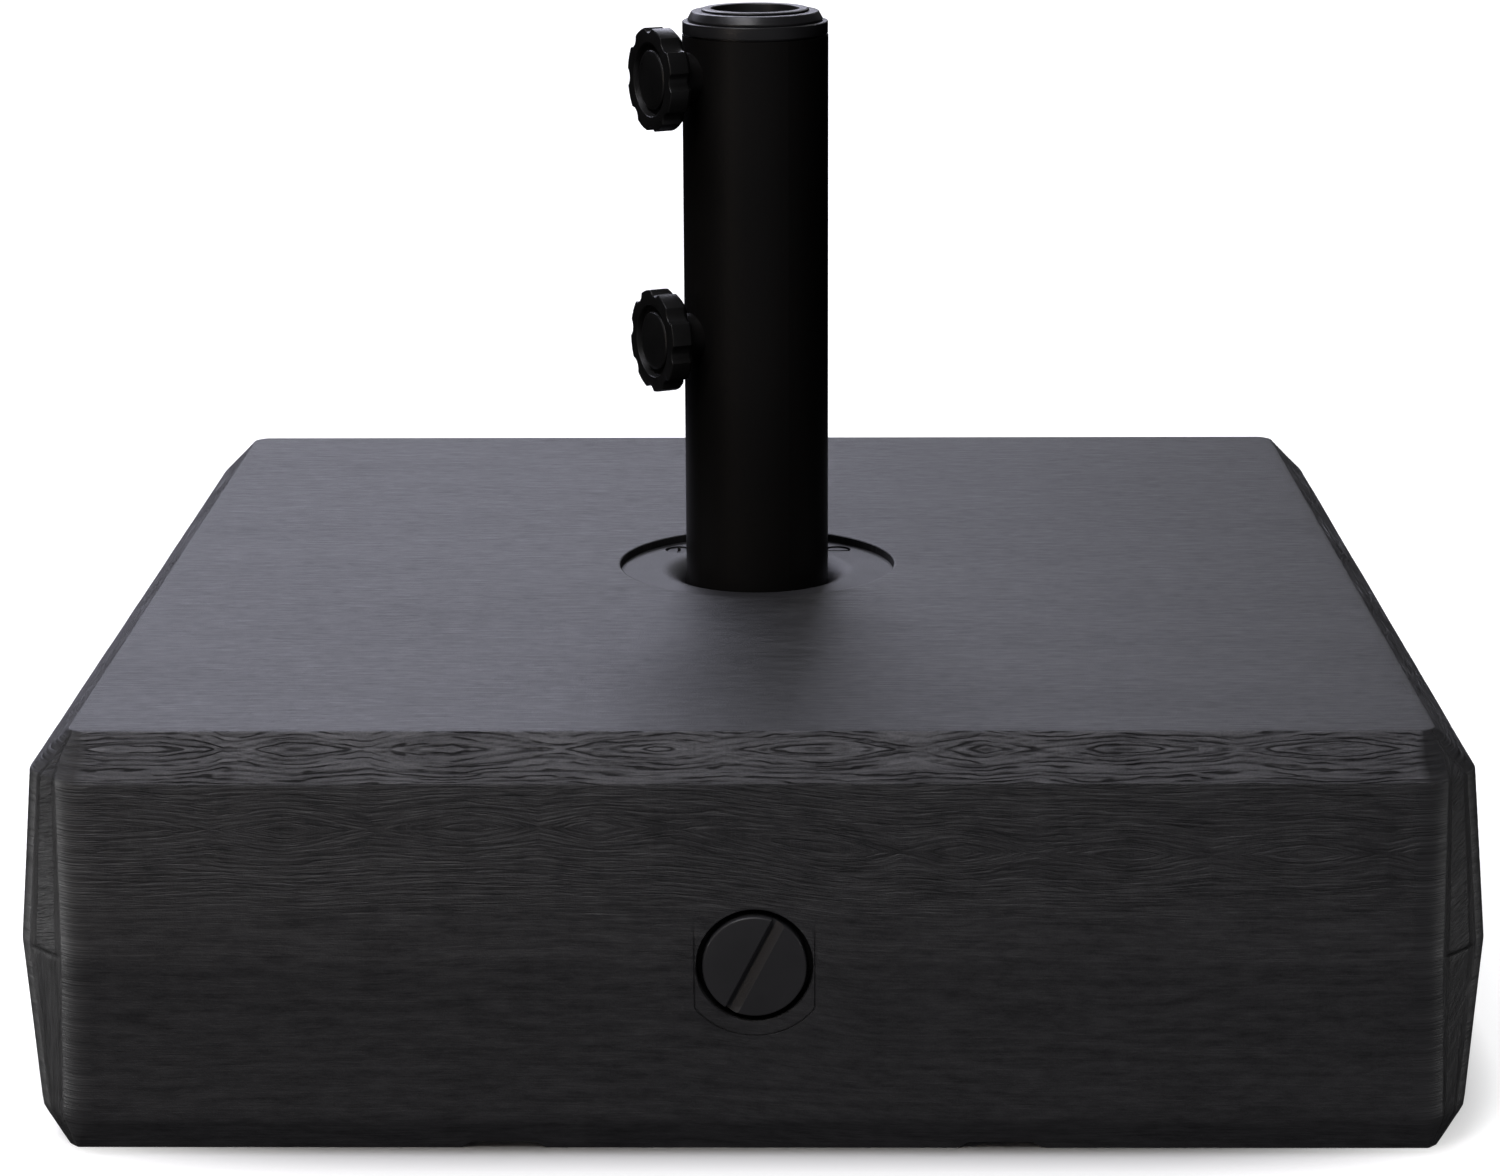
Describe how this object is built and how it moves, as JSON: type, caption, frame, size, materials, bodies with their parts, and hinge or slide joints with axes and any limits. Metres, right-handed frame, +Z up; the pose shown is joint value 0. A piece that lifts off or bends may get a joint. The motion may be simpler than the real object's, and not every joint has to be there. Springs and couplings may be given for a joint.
{
  "type": "parasol base",
  "caption": "Square fillable parasol base with wood-grain tank, steel pole tube, clamping knobs, reducer rings and a slotted fill plug.",
  "frame": {"origin": "on the floor, under the middle of the tank and the axis of the tube", "axes": "+Z up along the tube, -Y out of the face with the fill plug, +X to the right seen from the plug side"},
  "size_m": [0.51, 0.51, 0.3729],
  "materials": {
    "tank_plastic": "moulded wood grain, anthracite",
    "black_coat": "satin black powder coat",
    "knob_plastic": "fine moulded texture, black",
    "ring_plastic": "satin black",
    "plug_plastic": "satin black",
    "zinc_steel": "zinc plated",
    "insert_brass": "turned",
    "seal_rubber": "matt"
  },
  "bodies": {
    "base": {"tank_shell": "tank_plastic", "socket_collar": "tank_plastic", "collar_screws": "black_coat", "collar_inserts": "insert_brass", "post_tube": "black_coat", "foot_flange": "black_coat", "flange_screws": "zinc_steel", "foot_inserts": "insert_brass", "tube_cap": "ring_plastic", "weld_nut_upper": "black_coat", "weld_nut_lower": "black_coat"},
    "seal": {"plug_seal": "seal_rubber"},
    "plug": {"fill_plug": "plug_plastic"},
    "ring_middle": {"reducer_ring_middle": "ring_plastic"},
    "ring_inner": {"reducer_ring_inner": "ring_plastic"},
    "pad_upper": {"press_pad_upper": "knob_plastic"},
    "knob_upper": {"knob_head_upper": "knob_plastic", "knob_cap_upper": "knob_plastic", "knob_bolt_upper": "zinc_steel"},
    "pad_lower": {"press_pad_lower": "knob_plastic"},
    "knob_lower": {"knob_head_lower": "knob_plastic", "knob_cap_lower": "knob_plastic", "knob_bolt_lower": "zinc_steel"}
  },
  "joints": [
    {"name": "plug_travel", "type": "slide", "parent": "base", "child": "seal", "axis": [0, -1, 0], "range_m": [0, 0.024]},
    {"name": "plug_turn", "type": "hinge", "parent": "seal", "child": "plug", "pos_m": [0.0014, -0.2546, 0.0725], "axis": [0, -1, 0], "range_deg": [0, 2160]},
    {"name": "middle_ring_lift", "type": "slide", "parent": "base", "child": "ring_middle", "axis": [0, 0, 1], "range_m": [0, 0.03]},
    {"name": "inner_ring_lift", "type": "slide", "parent": "ring_middle", "child": "ring_inner", "axis": [0, 0, 1], "range_m": [0, 0.03]},
    {"name": "upper_pad_travel", "type": "slide", "parent": "base", "child": "pad_upper", "axis": [-0.891, -0.454, 0], "range_m": [0, 0.005]},
    {"name": "upper_knob_turn", "type": "hinge", "parent": "pad_upper", "child": "knob_upper", "pos_m": [0, 0, 0.3475], "axis": [-0.891, -0.454, 0], "range_deg": [0, 1440]},
    {"name": "lower_pad_travel", "type": "slide", "parent": "base", "child": "pad_lower", "axis": [-0.891, -0.454, 0], "range_m": [0, 0.005]},
    {"name": "lower_knob_turn", "type": "hinge", "parent": "pad_lower", "child": "knob_lower", "pos_m": [0, 0, 0.2455], "axis": [-0.891, -0.454, 0], "range_deg": [0, 1440]}
  ],
  "couplings": [
    {"joint": "plug_travel", "follows": "plug_turn", "m_per_rad": 0.0006366},
    {"joint": "upper_pad_travel", "follows": "upper_knob_turn", "m_per_rad": 0.0001989},
    {"joint": "lower_pad_travel", "follows": "lower_knob_turn", "m_per_rad": 0.0001989}
  ]
}
